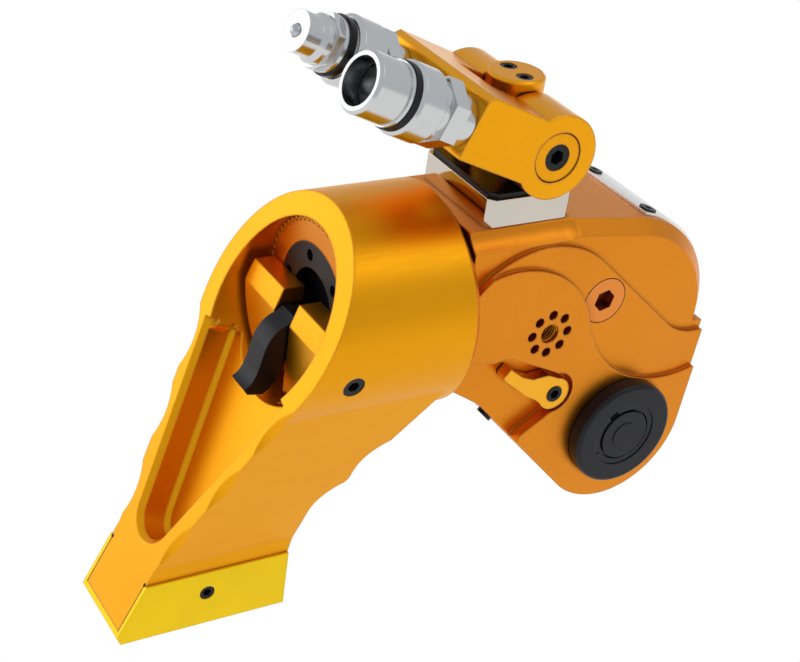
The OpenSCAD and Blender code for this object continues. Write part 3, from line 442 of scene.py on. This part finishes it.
YOKE_PIVOT = (-54.5, 0.0, 124.0)
YOKE_PITCH = math.radians(23.8)
FEMALE_SEAT = (-40.0, -22.3, -2.5)


def female_coupler():
    """Place of the female coupler: local z runs out of the yoke's front face."""
    yoke = Matrix.Translation(YOKE_PIVOT) @ Matrix.Rotation(YOKE_PITCH, 4, "Y")
    return yoke @ Matrix.Translation(FEMALE_SEAT) @ Matrix.Rotation(math.radians(-90), 4, "Y")


def socket_seal():
    """Black ring in the mouth of the female coupler."""
    place = female_coupler()
    radius, wire, along, around, across = 8.35, 0.6, 38.0, 96, 16
    rings = []
    for a in angles(around):
        ring = []
        for b in angles(across):
            r = radius + wire * math.cos(b)
            ring.append(place @ Vector((r * math.cos(a), r * math.sin(a), along + wire * math.sin(b))))
        rings.append(ring)
    sweep("socket_seal", rings, "yoke", "black_rubber", closed=True)


PAWL_AXIS = (-0.241922, 0.0, 0.970296)
SPRINGS = (
    # node, body, joint, direction from its moving end to its seat, travel
    ("drive_pawl_spring", "drive_lever", "pawl_lift", PAWL_AXIS, 2.6),
    ("button_spring", "drive", "button_press", (0.0, 1.0, 0.0), 2.6),
    ("latch_spring", "housing", "latch_press", (1.0, 0.0, 0.0), 2.5),
)


def springs():
    """Copies of the light springs, each carried by its body in place of the hidden CAD spring."""
    bpy.context.view_layer.update()
    for node, body, joint, towards, travel in SPRINGS:
        mesh = NODES[node].data.copy()
        mesh.transform(NODES[node].matrix_world)
        obj = bpy.data.objects.new(node + "_coil", mesh)
        bpy.context.scene.collection.objects.link(obj)
        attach(obj, body)
        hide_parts(node)
        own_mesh(obj)


springs()
handle_thread()
plug_gap()
clip_eye_shade()
painted_shoe_gaps()
socket_seal()


# Stage, in metres

FLOOR_HALF = 30.0
FLOOR_Z = -0.12
SKY_STRENGTH = 0.72
LIT_POINT = Vector((-0.07, 0.0, 0.05))


def seen_directly(nodes, links):
    """1 for camera, glossy and transmission rays, 0 for the diffuse ones that light the object."""
    path = nodes.new("ShaderNodeLightPath")
    total = path.outputs["Is Camera Ray"]
    for kind in ("Is Glossy Ray", "Is Transmission Ray"):
        most = nodes.new("ShaderNodeMath")
        most.operation = "MAXIMUM"
        links.new(total, most.inputs[0])
        links.new(path.outputs[kind], most.inputs[1])
        total = most.outputs[0]
    return total


def floor_material():
    """Pale floor that is plain white where it is seen directly."""
    mat = bpy.data.materials.new("white floor")
    mat.use_nodes = True
    nodes, links = mat.node_tree.nodes, mat.node_tree.links
    lit = nodes["Principled BSDF"]
    lit.inputs["Base Color"].default_value = (*FLOOR, 1)
    lit.inputs["Roughness"].default_value = 0.9
    glow = nodes.new("ShaderNodeEmission")
    glow.inputs["Strength"].default_value = 1.0
    mix = nodes.new("ShaderNodeMixShader")
    links.new(seen_directly(nodes, links), mix.inputs["Fac"])
    links.new(lit.outputs["BSDF"], mix.inputs[1])
    links.new(glow.outputs["Emission"], mix.inputs[2])
    links.new(mix.outputs["Shader"], nodes["Material Output"].inputs["Surface"])
    return mat


def floor():
    mesh = bpy.data.meshes.new("floor")
    corners = ((-1, -1), (1, -1), (1, 1), (-1, 1))
    mesh.from_pydata([(x * FLOOR_HALF, y * FLOOR_HALF, FLOOR_Z) for x, y in corners], [], [(0, 1, 2, 3)])
    mesh.materials.append(floor_material())
    obj = bpy.data.objects.new("floor", mesh)
    bpy.context.scene.collection.objects.link(obj)


def world():
    sky = bpy.data.worlds.new("studio")
    sky.use_nodes = True
    back = sky.node_tree.nodes["Background"]
    back.inputs["Color"].default_value = (*SKY, 1)
    back.inputs["Strength"].default_value = SKY_STRENGTH
    bpy.context.scene.world = sky


def softbox(name, at, size, watts):
    """Soft rectangular lamp that faces LIT_POINT."""
    data = bpy.data.lights.new(name, "AREA")
    data.shape = "RECTANGLE"
    data.size, data.size_y = size
    data.energy = watts
    obj = bpy.data.objects.new(name, data)
    obj.location = at
    obj.rotation_euler = (LIT_POINT - Vector(at)).to_track_quat("-Z", "Y").to_euler()
    bpy.context.scene.collection.objects.link(obj)


def lights():
    softbox("left key", at=(-1.15, 1.15, 0.12), size=(1.5, 1.3), watts=7.0)
    softbox("high front", at=(0.36, -0.42, 1.2), size=(0.8, 0.7), watts=1.15)
    softbox("high side", at=(0.58, -0.56, 0.96), size=(0.26, 0.26), watts=0.3)


def camera():
    """Camera at the photograph's place and angle, as fitted to its outlines."""
    place = Vector((-388.14, -439.23, 348.69)) * MM
    right = Vector((0.85806, -0.49715, 0.12873))
    down = Vector((-0.15645, -0.49182, -0.85652))
    forward = Vector((0.48913, 0.71481, -0.49979))
    data = bpy.data.cameras.new("photo camera")
    data.sensor_width = 36.0
    data.lens = 73.36
    obj = bpy.data.objects.new("photo camera", data)
    turn = Matrix((right, -down, -forward)).transposed().to_4x4()
    obj.matrix_world = Matrix.Translation(place) @ turn
    bpy.context.scene.collection.objects.link(obj)
    bpy.context.scene.camera = obj


floor()
world()
lights()
camera()
bpy.context.scene.view_settings.view_transform = "Standard"
